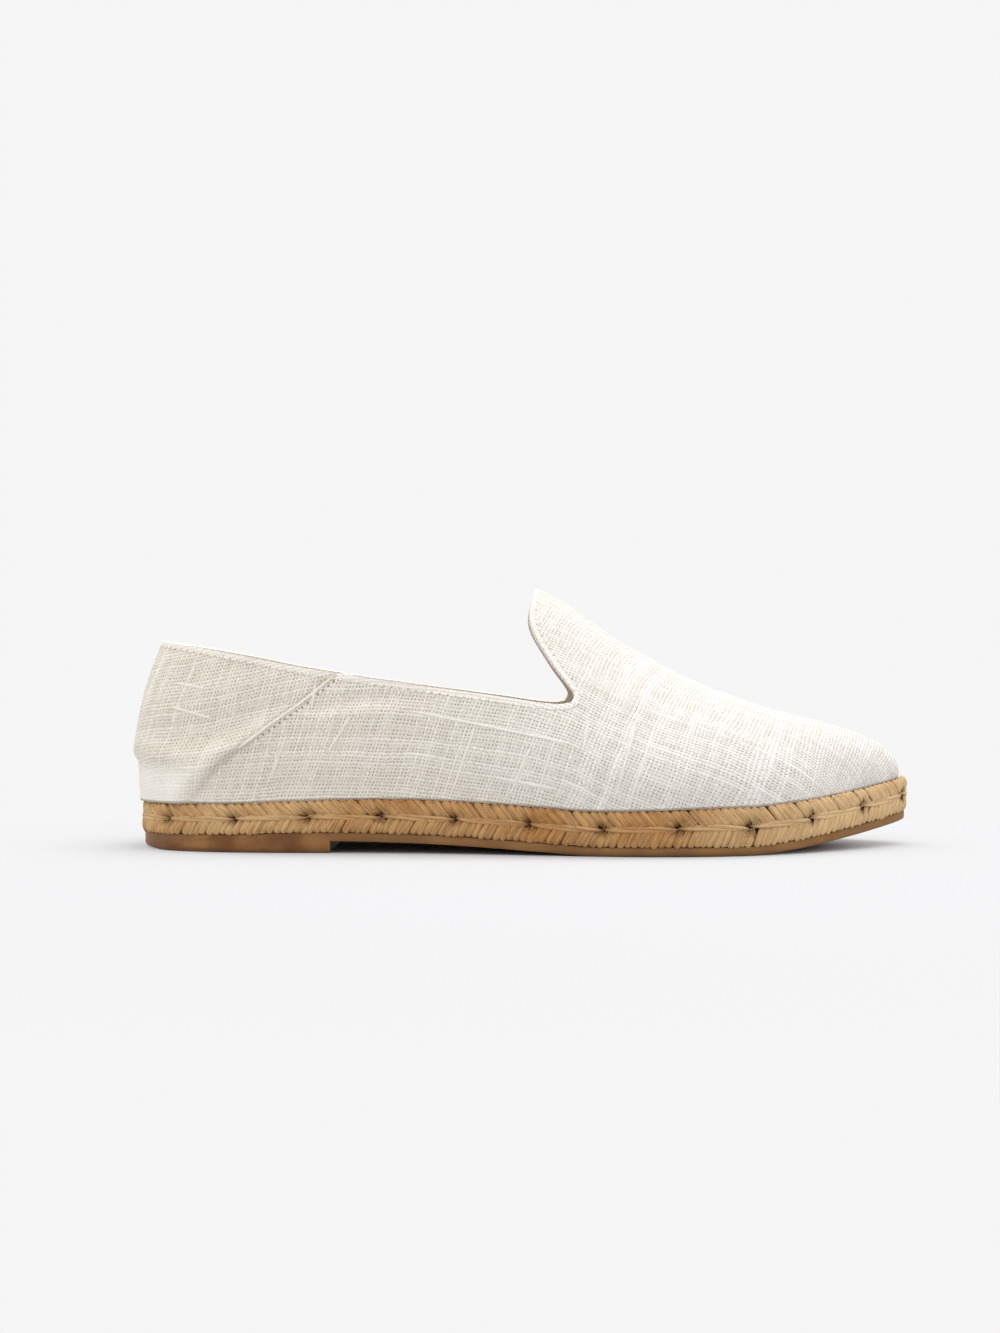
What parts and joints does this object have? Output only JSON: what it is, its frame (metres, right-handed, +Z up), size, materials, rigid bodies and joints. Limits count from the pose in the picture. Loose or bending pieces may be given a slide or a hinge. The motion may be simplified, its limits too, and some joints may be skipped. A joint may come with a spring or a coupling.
{
  "type": "espadrille",
  "caption": "Slip-on espadrille: a linen upper with a high-cut vamp and a low collar, on a stitched jute sole with a thin rubber outsole and a low moulded heel.",
  "frame": {"origin": "centre of the bounding box's bottom face, on the floor", "axes": "+X towards the toe, +Y towards the inner (big-toe) side of this right shoe, +Z up"},
  "size_m": [0.2644, 0.0894, 0.0876],
  "materials": {
    "rubber": "satin",
    "jute": "matte",
    "sock": "matte",
    "linen": "matte"
  },
  "bodies": {
    "root": {"outsole": "rubber", "jute_sole": "jute", "insole": "sock", "upper": "linen"}
  },
  "joints": []
}
